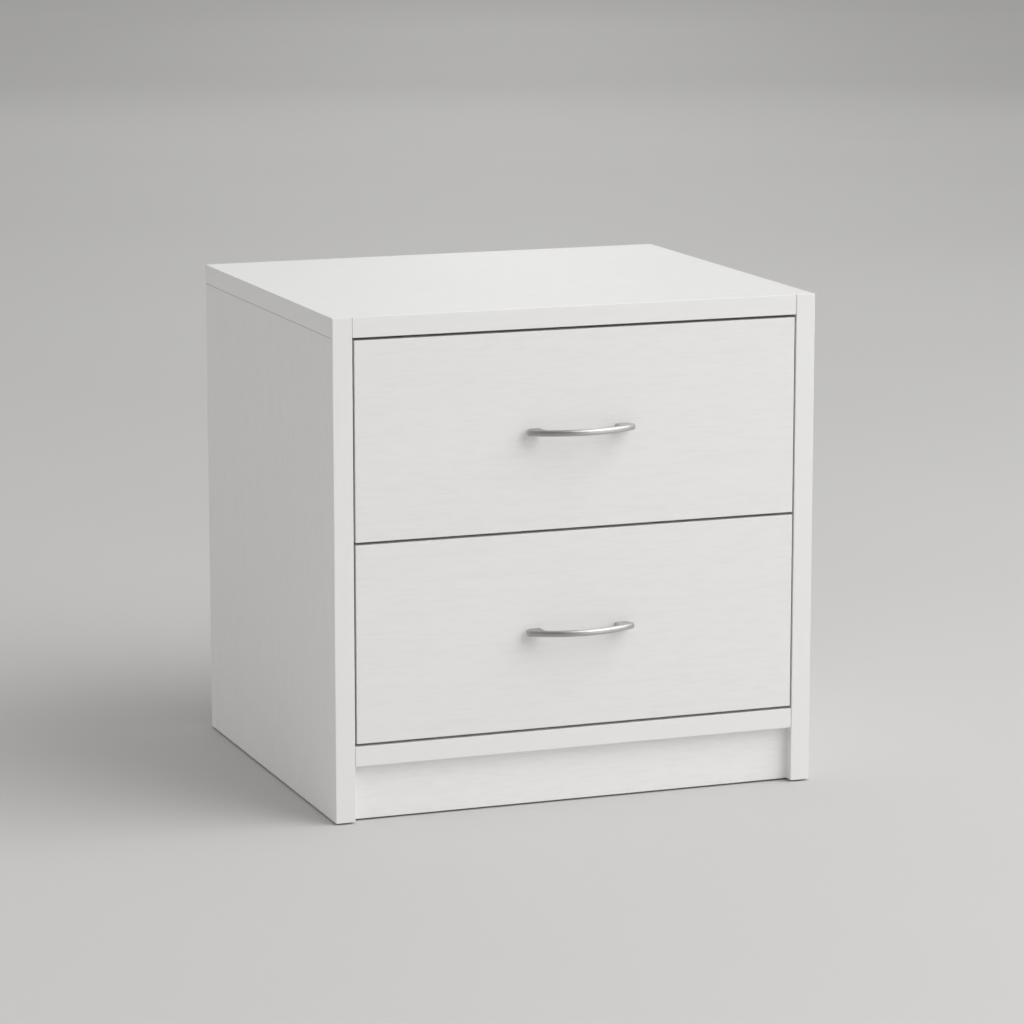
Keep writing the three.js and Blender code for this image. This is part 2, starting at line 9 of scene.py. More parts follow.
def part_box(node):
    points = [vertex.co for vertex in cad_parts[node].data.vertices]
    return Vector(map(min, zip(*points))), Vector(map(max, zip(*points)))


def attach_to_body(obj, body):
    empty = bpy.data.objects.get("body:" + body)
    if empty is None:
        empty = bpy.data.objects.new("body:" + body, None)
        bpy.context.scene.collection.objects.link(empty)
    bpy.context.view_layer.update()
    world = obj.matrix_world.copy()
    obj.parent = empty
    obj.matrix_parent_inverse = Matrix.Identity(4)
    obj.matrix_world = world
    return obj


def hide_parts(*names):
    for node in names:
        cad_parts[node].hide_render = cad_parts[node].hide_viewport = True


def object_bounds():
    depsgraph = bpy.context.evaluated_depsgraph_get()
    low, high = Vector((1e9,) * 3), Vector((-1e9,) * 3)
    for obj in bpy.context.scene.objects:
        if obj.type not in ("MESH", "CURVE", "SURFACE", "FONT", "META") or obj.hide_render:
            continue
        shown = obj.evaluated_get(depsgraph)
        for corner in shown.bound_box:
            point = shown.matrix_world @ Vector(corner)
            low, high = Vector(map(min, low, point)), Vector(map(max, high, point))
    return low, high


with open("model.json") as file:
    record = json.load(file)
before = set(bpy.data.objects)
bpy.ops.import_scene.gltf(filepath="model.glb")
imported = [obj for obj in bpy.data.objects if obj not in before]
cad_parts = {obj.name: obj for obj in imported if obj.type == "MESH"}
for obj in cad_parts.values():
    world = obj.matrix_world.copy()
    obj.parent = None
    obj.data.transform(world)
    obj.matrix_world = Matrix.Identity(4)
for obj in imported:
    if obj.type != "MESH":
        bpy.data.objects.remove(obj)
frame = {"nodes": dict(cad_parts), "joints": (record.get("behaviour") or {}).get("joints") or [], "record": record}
cad_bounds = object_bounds()

# Lengths are in metres. MM turns millimetres into metres.
MM = 0.001
SEAM = 0.2  # how far, in millimetres, the edges of two boards are broken where they meet; these broken edges are painted dark as the shade in the seam

SIDES = {"left": -1, "right": 1}
LEVELS = ("upper", "lower")
DIRECTIONS = {
    "left": Vector((-1, 0, 0)),
    "right": Vector((1, 0, 0)),
    "front": Vector((0, -1, 0)),
    "back": Vector((0, 1, 0)),
    "under": Vector((0, 0, -1)),
    "top": Vector((0, 0, 1)),
}

record = frame["record"]
BODY_OF = {
    node: body for body, nodes in record["behaviour"]["bodies"].items() for node in nodes
}


# ---- Mesh tools ----

def add_object(name, data):
    """A new object in the scene, from a mesh, a light or a camera."""
    made = bpy.data.objects.new(name, data)
    bpy.context.scene.collection.objects.link(made)
    return made


def object_from(name, build):
    """A new object from a bmesh, which is used up."""
    bmesh.ops.recalc_face_normals(build, faces=build.faces[:])
    mesh = bpy.data.meshes.new(name)
    build.to_mesh(mesh)
    build.free()
    return add_object(name, mesh)


def apply_modifiers(piece):
    """Turns a piece's modifiers into its mesh."""
    depsgraph = bpy.context.evaluated_depsgraph_get()
    done = bpy.data.meshes.new_from_object(piece.evaluated_get(depsgraph))
    piece.modifiers.clear()
    rough = piece.data
    piece.data = done
    bpy.data.meshes.remove(rough)


def mesh_of(piece):
    """A piece's mesh; the piece itself is removed."""
    mesh = piece.data
    bpy.data.objects.remove(piece)
    return mesh


def discard(piece):
    bpy.data.meshes.remove(mesh_of(piece))


def block(name, low, high):
    """A box between two corners."""
    build = bmesh.new()
    bmesh.ops.create_cube(build, size=1.0)
    for vertex in build.verts:
        for axis in range(3):
            share = vertex.co[axis] + 0.5
            vertex.co[axis] = low[axis] + share * (high[axis] - low[axis])
    return object_from(name, build)


def turned(name, profile, steps):
    """A solid of revolution about Z, from (radius, height) points that start and end on the axis
    or meet each other."""
    build = bmesh.new()
    closed = profile[0] == profile[-1]
    rings = []
    for radius, height in profile[:-1] if closed else profile:
        if radius < 1e-9:
            rings.append([build.verts.new((0, 0, height))])
            continue
        turns = [2 * math.pi * step / steps for step in range(steps)]
        rings.append([
            build.verts.new((radius * math.cos(turn), radius * math.sin(turn), height))
            for turn in turns
        ])
    pairs = list(zip(rings, rings[1:]))
    if closed:
        pairs.append((rings[-1], rings[0]))
    for one, two in pairs:
        for step in range(steps):
            corners = [
                one[step % len(one)],
                one[(step + 1) % len(one)],
                two[(step + 1) % len(two)],
                two[step % len(two)],
            ]
            build.faces.new(list(dict.fromkeys(corners)))
    return object_from(name, build)


def prism(name, outline, low, high, place):
    """A closed outline of (u, v) points drawn out from low to high.

    place turns (u, v, w) into a point.
    """
    build = bmesh.new()
    near = [build.verts.new(place(u, v, low)) for u, v in outline]
    far = [build.verts.new(place(u, v, high)) for u, v in outline]
    build.faces.new(near)
    build.faces.new(far)
    for index in range(len(outline)):
        after = (index + 1) % len(outline)
        build.faces.new((near[index], near[after], far[after], far[index]))
    return object_from(name, build)


def soften(piece, radius_of, segments=3):
    """Rounds edges; radius_of gives the radius of a bmesh edge, or 0 for one that stays sharp."""
    build = bmesh.new()
    build.from_mesh(piece.data)
    radii = {edge.index: radius_of(edge) for edge in build.edges}
    largest = max(radii.values())
    weight = build.edges.layers.float.new("bevel_weight_edge")
    for edge in build.edges:
        edge[weight] = radii[edge.index] / largest
    build.to_mesh(piece.data)
    build.free()
    bevel = piece.modifiers.new("soften", "BEVEL")
    bevel.width = largest
    bevel.segments = segments
    bevel.limit_method = "WEIGHT"
    apply_modifiers(piece)


def cut(piece, tools):
    """Cuts tools out of a piece and removes the tools."""
    for tool in tools:
        boolean = piece.modifiers.new("cut", "BOOLEAN")
        boolean.object = tool
        boolean.operation = "DIFFERENCE"
        boolean.solver = "EXACT"
    apply_modifiers(piece)
    for tool in tools:
        discard(tool)


def smooth(piece, sharp_above):
    """Smooth shading, with flat faces kept flat and edges sharper than an angle kept sharp."""
    piece.data.shade_smooth()
    piece.data.set_sharp_from_angle(angle=math.radians(sharp_above))
    normals = piece.modifiers.new("normals", "WEIGHTED_NORMAL")
    normals.keep_sharp = True


def stand(piece, point, outward):
    """Moves a piece that was modelled along +Z: its origin goes to point and +Z to outward."""
    turn = Vector(outward).to_track_quat("Z", "Y").to_matrix().to_4x4()
    piece.matrix_world = Matrix.Translation(point) @ turn


def cylinder(point, outward, radius, depth, steps):
    """A round cutter, from just outside a face at point to a depth below it."""
    tool = turned("cutter", [(0, MM), (radius, MM), (radius, -depth), (0, -depth)], steps)
    stand(tool, point, outward)
    return tool


def span_block(xs, ys, zs, name="cutter"):
    """A box between pairs of planes."""
    low, high = zip(*(sorted(pair) for pair in (xs, ys, zs)))
    return block(name, low, high)


def arc(centre, radius, start, end, steps):
    """Points on a circle in a plane, from one angle to another."""
    angles = [start + (end - start) * step / steps for step in range(steps + 1)]
    return [(centre[0] + radius * math.cos(a), centre[1] + radius * math.sin(a)) for a in angles]


def bent_strip(points, bend, thickness, steps=4):
    """The closed outline of a sheet of some thickness, bent at the inner points of its centre line."""
    path = [(Vector(points[0]), None)]
    for before, corner, after in zip(points, points[1:], points[2:]):
        corner = Vector(corner)
        arrive = (corner - Vector(before)).normalized()
        leave = (Vector(after) - corner).normalized()
        centre = corner - arrive * bend + leave * bend
        for step in range(steps + 1):
            share = math.pi / 2 * step / steps
            spoke = -leave * math.cos(share) + arrive * math.sin(share)
            heading = arrive * math.cos(share) + leave * math.sin(share)
            path.append((centre + spoke * bend, heading))
    path.append((Vector(points[-1]), None))
    sides = ([], [])
    for index, (point, heading) in enumerate(path):
        if heading is None:
            other = path[1 if index == 0 else index - 1][0]
            heading = (other - point if index == 0 else point - other).normalized()
        across = Vector((-heading.y, heading.x)) * thickness / 2
        sides[0].append(tuple(point + across))
        sides[1].append(tuple(point - across))
    return sides[0] + sides[1][::-1]


# ---- Material tools ----

class Recipe:
    """The node tree of one material. Methods that add a node return its output socket."""

    def __init__(self, name):
        self.material = bpy.data.materials.new(name)
        self.material.use_nodes = True
        self.tree = self.material.node_tree
        self.shader = self.tree.nodes["Principled BSDF"]
        self.place = self.add("ShaderNodeTexCoord").outputs["Object"]

    def add(self, kind, inputs=None, **settings):
        node = self.tree.nodes.new(kind)
        for key, value in settings.items():
            setattr(node, key, value)
        for key, value in (inputs or {}).items():
            self.feed(node.inputs[key], value)
        return node

    def feed(self, socket, value):
        if isinstance(value, bpy.types.NodeSocket):
            self.tree.links.new(value, socket)
        else:
            socket.default_value = value

    def finish(self, **inputs):
        """Feeds the shader; a name such as Base_Color stands for the socket Base Color."""
        for key, value in inputs.items():
            self.feed(self.shader.inputs[key.replace("_", " ")], value)
        return self.material

    def scaled(self, scale, vector=None):
        inputs = {"Vector": vector or self.place, "Scale": scale}
        return self.add("ShaderNodeMapping", inputs).outputs["Vector"]

    def along(self, grain, ratio, vector=None):
        """Coordinates squeezed along the grain, so that patterns come out 1 / ratio times as long."""
        scale = [ratio if axis == grain else 1.0 for axis in "xyz"]
        return self.scaled(scale, vector)

    def noise(self, scale, vector=None, detail=2.0, roughness=0.5, distortion=0.0):
        inputs = {
            "Vector": vector or self.place, "Scale": scale, "Detail": detail,
            "Roughness": roughness, "Distortion": distortion,
        }
        return self.add("ShaderNodeTexNoise", inputs).outputs["Fac"]

    def cells(self, scale, vector=None, output="Color"):
        inputs = {"Vector": vector or self.place, "Scale": scale}
        return self.add("ShaderNodeTexVoronoi", inputs).outputs[output]

    def spread(self, value, low, high, to_low=0.0, to_high=1.0):
        inputs = {
            "Value": value, "From Min": low, "From Max": high, "To Min": to_low, "To Max": to_high,
        }
        return self.add("ShaderNodeMapRange", inputs).outputs["Result"]

    def calc(self, operation, one, two=0.0):
        node = self.add("ShaderNodeMath", operation=operation)
        self.feed(node.inputs[0], one)
        self.feed(node.inputs[1], two)
        return node.outputs[0]

    def weighted(self, *terms):
        """The sum of (value, weight) pairs."""
        total = self.calc("MULTIPLY", *terms[0])
        for value, weight in terms[1:]:
            total = self.calc("ADD", total, self.calc("MULTIPLY", value, weight))
        return total

    def mix(self, factor, one, two):
        """A colour between two colours, which are (r, g, b) or sockets."""
        node = self.add("ShaderNodeMix", data_type="RGBA", clamp_factor=True)
        first, second, result = 6, 7, 2  # the colour sockets; a Mix node has one set for each type
        self.feed(node.inputs[0], factor)
        for index, colour in ((first, one), (second, two)):
            socket = isinstance(colour, bpy.types.NodeSocket)
            self.feed(node.inputs[index], colour if socket else (*colour, 1.0))
        return node.outputs[result]

    def ramp(self, value, stops):
        """A colour ramp of (position, (r, g, b)) stops."""
        node = self.add("ShaderNodeValToRGB", {"Fac": value})
        elements = node.color_ramp.elements
        while len(elements) < len(stops):
            elements.new(1.0)
        for element, (position, colour) in zip(elements, stops):
            element.position = position
            element.color = (*colour, 1.0)
        return node.outputs["Color"]

    def split(self, vector):
        node = self.add("ShaderNodeSeparateXYZ", {"Vector": vector})
        return [node.outputs[axis] for axis in "XYZ"]

    def relief(self, height, depth, below=None):
        """A bumped normal: height 1 stands depth metres above height 0."""
        inputs = {"Height": height, "Distance": depth, "Strength": 1.0}
        if below is not None:
            inputs["Normal"] = below
        return self.add("ShaderNodeBump", inputs).outputs["Normal"]

    def edges(self):
        """1 on the rounded edges of an upright box-shaped piece, 0 on its flat faces."""
        normal = self.add("ShaderNodeNewGeometry").outputs["True Normal"]
        sizes = [self.calc("ABSOLUTE", part) for part in self.split(normal)]
        largest = self.calc("MAXIMUM", self.calc("MAXIMUM", sizes[0], sizes[1]), sizes[2])
        return self.spread(largest, 0.9995, 0.97)


# ---- Materials ----

WHITE = (0.808, 0.803, 0.793)
WHITE_SHADED = (0.66, 0.652, 0.64)
PLINTH_LIT_WHITE = (0.87, 0.866, 0.857)  # painted light: the plinth board is painted a little whiter than the others, to stand in for the light that reaches it in its recess


def melamine(name, grain, white=WHITE):
    """White melamine: fine embossed pores along the grain, a faint figure, and a pearly sheen."""
    recipe = Recipe(name)
    pores = recipe.spread(recipe.noise(320, recipe.along(grain, 0.14), 3.0, 0.65), 0.47, 0.74)
    hair = recipe.noise(1300, recipe.along(grain, 0.03), 2.0)
    figure = recipe.noise(95, recipe.along(grain, 0.07), 3.0, 0.55, 0.7)
    cloud = recipe.noise(5, detail=2.0)
    wear = recipe.calc("MULTIPLY", recipe.edges(), recipe.spread(recipe.noise(90), 0.5, 0.8))
    shade = recipe.weighted(
        (pores, 0.20), (figure, 0.19), (cloud, 0.07), (hair, 0.05), (wear, 0.12),
    )
    rough = recipe.weighted((pores, 0.10), (hair, 0.08), (cloud, 0.05))
    height = recipe.weighted((pores, -1.0), (hair, 0.25), (figure, 0.5))
    pearl = recipe.relief(recipe.noise(2600, detail=1.0), 0.0015 * MM)
    return recipe.finish(
        Base_Color=recipe.mix(shade, white, WHITE_SHADED),
        Roughness=recipe.calc("ADD", rough, 0.36),
        Normal=recipe.relief(height, 0.016 * MM, pearl),
    )


def edging(name, grain):
    """White plastic edge banding: smoother than the boards, with faint drawing lines."""
    recipe = Recipe(name)
    lines = recipe.noise(900, recipe.along(grain, 0.02), 2.0)
    pores = recipe.spread(recipe.noise(420, recipe.along(grain, 0.12), 3.0, 0.65), 0.5, 0.75)
    cloud = recipe.noise(6)
    scuffs = recipe.calc("MULTIPLY", recipe.edges(), recipe.spread(recipe.noise(160), 0.52, 0.8))
    shade = recipe.weighted((lines, 0.05), (pores, 0.05), (cloud, 0.06), (scuffs, 0.18))
    return recipe.finish(
        Base_Color=recipe.mix(shade, (0.802, 0.797, 0.787), WHITE_SHADED),
        Roughness=recipe.weighted((lines, 0.08), (cloud, 0.04), (pores, 0.06), (1.0, 0.32)),
        Normal=recipe.relief(recipe.weighted((lines, 0.5), (pores, -1.0)), 0.006 * MM),
    )


def foil(name):
    """White foil on the drawer boxes, with a fine linen print."""
    recipe = Recipe(name)
    warp = recipe.noise(1700, recipe.along("y", 0.05), 1.0)
    weft = recipe.noise(1700, recipe.along("z", 0.05), 1.0)
    cloud = recipe.noise(7)
    linen = recipe.calc("MULTIPLY", warp, weft)
    shade = recipe.weighted((linen, 0.60), (cloud, 0.12), (recipe.edges(), 0.06))
    return recipe.finish(
        Base_Color=recipe.mix(shade, (0.78, 0.775, 0.76), WHITE_SHADED),
        Roughness=recipe.weighted((linen, 0.25), (cloud, 0.08), (1.0, 0.42)),
        Normal=recipe.relief(linen, 0.02 * MM),
    )


def chipboard():
    """The raw core of a board: pressed flakes and chips of wood."""
    recipe = Recipe("raw_chipboard")
    coarse = recipe.cells(420, recipe.scaled((1.0, 1.0, 1.6)))
    fine = recipe.cells(1300)
    tones = recipe.weighted(
        (recipe.split(coarse)[0], 0.55), (recipe.split(fine)[1], 0.35), (recipe.noise(60), 0.2),
    )
    colour = recipe.ramp(tones, [
        (0.10, (0.16, 0.095, 0.045)),
        (0.38, (0.36, 0.245, 0.135)),
        (0.62, (0.52, 0.385, 0.235)),
        (0.95, (0.66, 0.53, 0.36)),
    ])
    pits = recipe.cells(420, recipe.scaled((1.0, 1.0, 1.6)), "Distance")
    height = recipe.weighted((pits, -1.0), (recipe.noise(2000, detail=3.0), 0.5))
    return recipe.finish(
        Base_Color=colour,
        Roughness=recipe.spread(tones, 0.1, 0.9, 0.95, 0.78),
        Normal=recipe.relief(height, 0.12 * MM),
    )


def painted_seam_shade():
    """The broken edges in the seam between two boards, painted dark grey as the shade inside the seam."""
    recipe = Recipe("seam_shadow")
    shade_mottle = recipe.noise(300, detail=3.0)
    return recipe.finish(
        Base_Color=recipe.mix(shade_mottle, (0.34, 0.325, 0.30), (0.20, 0.19, 0.175)),
        Roughness=recipe.spread(shade_mottle, 0.3, 0.7, 0.85, 0.95),
        Normal=recipe.relief(shade_mottle, 0.05 * MM),
    )


def hardboard():
    """The brown outer face of a hardboard back: matted fibres and the print of the press screen."""
    recipe = Recipe("raw_hardboard")
    fibres = recipe.noise(1100, detail=5.0, roughness=0.7)
    cloud = recipe.noise(16, detail=3.0)
    specks = recipe.spread(recipe.noise(420, detail=2.0), 0.60, 0.72)
    x, _, z = recipe.split(recipe.place)
    turns = 2 * math.pi / (1.8 * MM)
    mesh_x = recipe.calc("SINE", recipe.calc("MULTIPLY", x, turns))
    mesh_z = recipe.calc("SINE", recipe.calc("MULTIPLY", z, turns))
    screen = recipe.calc("MULTIPLY", mesh_x, mesh_z)
    tones = recipe.weighted((fibres, 0.7), (cloud, 0.35), (specks, -0.25), (screen, 0.03))
    colour = recipe.ramp(tones, [
        (0.20, (0.105, 0.058, 0.030)),
        (0.50, (0.215, 0.132, 0.072)),
        (0.85, (0.330, 0.222, 0.132)),
    ])
    return recipe.finish(
        Base_Color=colour,
        Roughness=recipe.spread(fibres, 0.3, 0.7, 0.62, 0.85),
        Normal=recipe.relief(recipe.weighted((fibres, 1.0), (screen, 0.35)), 0.05 * MM),
    )


def lacquer():
    """The white printed face of hardboard, with its fibres just showing through."""
    recipe = Recipe("white_lacquer")
    fibres = recipe.noise(1400, detail=4.0, roughness=0.65)
    cloud = recipe.noise(9, detail=3.0)
    shade = recipe.weighted((fibres, 0.16), (cloud, 0.14))
    return recipe.finish(
        Base_Color=recipe.mix(shade, (0.79, 0.785, 0.77), WHITE_SHADED),
        Roughness=recipe.spread(fibres, 0.3, 0.7, 0.44, 0.58),
        Normal=recipe.relief(fibres, 0.012 * MM),
    )


def brushed_nickel(name, centre, radius):
    """Brushed nickel on a bow handle: hair lines that follow the bow about its centre."""
    recipe = Recipe(name)
    x, y, z = recipe.split(recipe.place)
    from_centre = recipe.calc("SUBTRACT", y, centre[1])
    ahead = recipe.calc("MULTIPLY", from_centre, -1.0)
    angle = recipe.calc("ARCTAN2", x, ahead)
    lines = recipe.add("ShaderNodeCombineXYZ", {"X": ahead, "Y": x}).outputs["Vector"]
    distance = recipe.calc(
        "SQRT", recipe.weighted((recipe.calc("POWER", x, 2.0), 1.0),
                                (recipe.calc("POWER", from_centre, 2.0), 1.0)),
    )
    bow = recipe.add("ShaderNodeCombineXYZ", {
        "X": recipe.calc("MULTIPLY", angle, radius), "Y": distance, "Z": z,
    }).outputs["Vector"]
    hair = recipe.noise(5200, recipe.along("x", 0.012, bow), 3.0, 0.7)
    broad = recipe.noise(900, recipe.along("x", 0.03, bow), 2.0)
    cloud = recipe.noise(60)
    shade = recipe.weighted((hair, 0.55), (broad, 0.30), (cloud, 0.15))
    return recipe.finish(
        Base_Color=recipe.mix(shade, (0.60, 0.595, 0.587), (0.41, 0.407, 0.402)),
        Metallic=1.0,
        Roughness=recipe.spread(shade, 0.25, 0.75, 0.29, 0.43),
        Anisotropic=0.85,
        Anisotropic_Rotation=0.25,
        Tangent=lines,
        Normal=recipe.relief(recipe.weighted((hair, 0.7), (broad, 0.3)), 0.004 * MM),
    )


def zinc():
    """Bright zinc plating with a faint mottle and handling marks."""
    recipe = Recipe("zinc_plating")
    mottle = recipe.noise(240, detail=3.0, roughness=0.6)
    scratches = recipe.spread(recipe.noise(900, recipe.scaled((1, 0.15, 1)), 2.0), 0.58, 0.72)
    tint = recipe.mix(mottle, (0.70, 0.715, 0.74), (0.58, 0.575, 0.55))
    return recipe.finish(
        Base_Color=recipe.mix(recipe.calc("MULTIPLY", scratches, 0.4), tint, (0.40, 0.40, 0.40)),
        Metallic=1.0,
        Roughness=recipe.weighted((mottle, 0.22), (scratches, 0.15), (1.0, 0.20)),
        Normal=recipe.relief(mottle, 0.01 * MM),
    )


def epoxy():
    """White powder coat on the slides: orange peel, and grey wear where it rubs."""
    recipe = Recipe("white_epoxy")
    peel = recipe.noise(1100, detail=1.0)
    cloud = recipe.noise(14, detail=3.0)
    rub = recipe.spread(recipe.noise(120, recipe.along("y", 0.05), 3.0), 0.60, 0.80)
    worn = recipe.calc("MULTIPLY", rub, 0.45)
    base = recipe.mix(cloud, (0.80, 0.80, 0.79), (0.74, 0.74, 0.73))
    return recipe.finish(
        Base_Color=recipe.mix(worn, base, (0.50, 0.50, 0.49)),
        Roughness=recipe.weighted((peel, 0.12), (rub, 0.12), (1.0, 0.26)),
        Normal=recipe.relief(peel, 0.018 * MM),
    )


def moulded(name, light, dark, gloss):
    """Moulded plastic with a fine matte skin and slight clouding."""
    recipe = Recipe(name)
    skin = recipe.noise(2200, detail=2.0)
    cloud = recipe.noise(45, detail=3.0)
    marks = recipe.spread(recipe.noise(380, detail=2.0), 0.62, 0.78)
    shade = recipe.weighted((cloud, 0.5), (skin, 0.2), (marks, 0.5))
    return recipe.finish(
        Base_Color=recipe.mix(shade, light, dark),
        Roughness=recipe.weighted((skin, 0.18), (marks, 0.12), (1.0, gloss)),
        Normal=recipe.relief(skin, 0.012 * MM),
    )


def beech():
    """Raw beech: straight fine grain with short dark flecks."""
    recipe = Recipe("raw_beech")
    grain = recipe.noise(700, recipe.scaled((0.2, 1.0, 0.2)), 3.0)
    flecks = recipe.spread(recipe.noise(1500, recipe.scaled((0.2, 1.0, 0.2)), 1.0), 0.60, 0.70)
    tone = recipe.mix(grain, (0.60, 0.42, 0.25), (0.44, 0.28, 0.15))
    return recipe.finish(
        Base_Color=recipe.mix(recipe.calc("MULTIPLY", flecks, 0.6), tone, (0.27, 0.16, 0.08)),
        Roughness=recipe.spread(grain, 0.3, 0.7, 0.55, 0.75),
        Normal=recipe.relief(grain, 0.03 * MM),
    )


def paper():
    """Matte pale studio paper for the floor."""
    recipe = Recipe("studio_paper")
    cloud = recipe.noise(1.3, detail=3.0)
    tooth = recipe.noise(700, detail=2.0)
    return recipe.finish(
        Base_Color=recipe.mix(cloud, (0.600, 0.594, 0.585), (0.570, 0.563, 0.555)),
        Roughness=recipe.spread(tooth, 0.3, 0.7, 0.86, 0.94),
        Normal=recipe.relief(tooth, 0.02 * MM),
    )


MELAMINE_ALONG_X = melamine("white_melamine_x", "x")
MELAMINE_ALONG_Z = melamine("white_melamine_z", "z")
# painted light: a whiter copy of the boards' melamine for the plinth
PLINTH_LIT_MELAMINE = melamine("white_melamine_plinth_lit", "x", PLINTH_LIT_WHITE)
EDGING_ALONG_X = edging("white_edging_x", "x")
EDGING_ALONG_Z = edging("white_edging_z", "z")
FOIL = foil("white_foil")
CHIPBOARD = chipboard()
# painted shade for the broken edges where two boards meet
SEAM_SHADE = painted_seam_shade()
HARDBOARD = hardboard()
LACQUER = lacquer()
ZINC = zinc()
EPOXY = epoxy()
NYLON = moulded("nylon", (0.72, 0.71, 0.67), (0.56, 0.55, 0.51), 0.38)
GLIDE_PLASTIC = moulded("glide_plastic", (0.62, 0.61, 0.58), (0.44, 0.43, 0.40), 0.50)
BEECH = beech()


# ---- Finishing a piece ----

def attach(piece, node, replaced=True):
    """A piece rides with a node's body; by default it stands for the node."""
    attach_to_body(piece, BODY_OF[node])
    if replaced:
        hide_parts(node)


def paint(piece, materials, rule=None):
    """Gives a piece its materials; rule picks one for each face, or all take the first."""
    piece.data.materials.clear()
    for material in materials:
        piece.data.materials.append(material)
    for face in piece.data.polygons:
        face.material_index = rule(face) if rule else 0


def dress(piece, node, materials, rule=None, sharp_above=40, replaced=True):
    """Paints a piece, smooths its shading and attaches it to a node."""
    paint(piece, materials, rule)
    smooth(piece, sharp_above)
    attach(piece, node, replaced)


def board(
    name, node, skin, core=CHIPBOARD, ease=0.4, rounded=None, butted=(), bare=(), banded=(),
    seams=None, cutters=(),
):
    """A board in place of a CAD node.

    ease is the radius in millimetres of its edges, rounded gives some faces a larger one, and the
    edges of butted faces stay sharp. The bare faces and everything cut into the board show its core,
    the banded faces have edge banding, and the edges of the seams faces are broken by the width
    given and painted dark as the shade inside the seam.
    """
    low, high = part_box(node)
    rounded, seams = rounded or {}, seams or {}
    skin_part, core_part, seam_part, band_part = range(4)
    piece = block(name, low, high)

    def radius_of(edge):
        def on(side):
            return any(face.normal.dot(DIRECTIONS[side]) > 0.9 for face in edge.link_faces)

        if any(on(side) for side in butted):
            return 0.0
        for side, width in seams.items():
            if on(side):
                return MM * width
        return MM * max([ease] + [radius for side, radius in rounded.items() if on(side)])

    def rule(face):
        def on(sides, least):
            return any(face.normal.dot(DIRECTIONS[side]) > least for side in sides)

        depth = min(min(face.center - low), min(high - face.center))
        # the broken edges of a seam are painted dark, as the shade inside the seam
        if max(abs(part) for part in face.normal) < 0.999 and on(seams, 0.1):
            return seam_part
        if on(bare, 0.9) or depth > MM * max([ease, *rounded.values()]):
            return core_part
        return band_part if on(banded, 0.5) else skin_part

    soften(piece, radius_of)
    if cutters:
        cut(piece, cutters)
    band = EDGING_ALONG_Z if skin == MELAMINE_ALONG_Z else EDGING_ALONG_X
    dress(piece, node, [skin, core, SEAM_SHADE, band], rule)


# ---- Shared hardware: screws and cams, modelled once at the origin and used many times ----

def cross_recess(width, reach, depth):
    """Two crossing cutter blocks for a screwdriver, from just above z = 0 down to a depth."""
    across = (width / 2, reach / 2)
    return [
        span_block((-a, a), (-b, b), (MM, -depth)) for a, b in (across, across[::-1])
    ]


def screw_mesh(head_radius, head_height, shank_radius, length):
    """A pan-head screw: the head stands on z = 0 and the shank points down."""
    dome = [
        (head_radius * math.cos(turn), head_height * (0.35 + 0.65 * math.sin(turn)))
        for turn in (math.radians(step * 18) for step in range(5))
    ]
    profile = [(0, head_height), *reversed(dome), (head_radius, 0), (shank_radius, 0)]
    profile += [(shank_radius, -length), (0, -length - shank_radius)]
    piece = turned("screw", profile, 32)
    tools = cross_recess(0.28 * head_radius, 1.15 * head_radius, 0.55 * head_height)
    for tool in tools:
        tool.location.z = head_height
    cut(piece, tools)
    return mesh_of(piece)


def flush_screw_mesh(head_radius, shank_radius, length):
    """A countersunk screw: the head's flat top is at z = 0 and the shank points down."""
    profile = [(0, 0), (head_radius - 0.15 * MM, 0), (head_radius, -0.15 * MM)]
    profile += [(shank_radius, -head_radius + shank_radius), (shank_radius, -length), (0, -length)]
    piece = turned("flush_screw", profile, 32)
    cut(piece, cross_recess(0.28 * head_radius, 1.25 * head_radius, 0.35 * head_radius))
    return mesh_of(piece)


def cam_mesh(radius, depth):
    """A cam: a disc with a raised rim, a cross recess and a pointer notch, its top at z = 0."""
    rim, step = 0.9 * MM, 0.5 * MM
    profile = [
        (0, -step), (radius - rim - step, -step), (radius - rim, 0), (radius - 0.3 * MM, 0),
        (radius, -0.3 * MM), (radius, -depth), (0, -depth),
    ]
    piece = turned("cam", profile, 48)
    tools = cross_recess(width=1.6 * MM, reach=8 * MM, depth=3.5 * MM)
    size, deep = 1.1 * MM, 1.2 * MM
    notch = turned("cutter", [(0, MM), (size, MM), (size, -deep), (0, -deep)], 3)
    notch.location.y = radius - 2.6 * MM
    cut(piece, [*tools, notch])
    return mesh_of(piece)


def place_copies(base_name, mesh, places, node):
    """Zinc-plated copies of a mesh that ride with a node; places are (suffix, point, outward)."""
    made = []
    for suffix, point, outward in places:
        piece = add_object(f"{base_name}_{suffix}", mesh)
        stand(piece, Vector(point), outward)
        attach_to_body(piece, BODY_OF[node])
        made.append(piece)
    if not mesh.materials:
        mesh.materials.append(ZINC)
        mesh.shade_smooth()
        mesh.set_sharp_from_angle(angle=math.radians(32))
    return made


# ---- Carcass ----

CAM_RADIUS = 7.5 * MM
CAM_DEPTH = 12.5 * MM
CAM_AIR = 0.3 * MM
GROOVE_AIR = 0.25 * MM

side_low, side_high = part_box("side_panel_right")
X_IN, X_OUT = side_low.x, side_high.x
BOARD = X_OUT - X_IN
bottom_low, bottom_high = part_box("bottom_panel")
Z_BOTTOM, Z_FLOOR = bottom_low.z, bottom_high.z
hardboard_low, hardboard_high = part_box("back_panel")


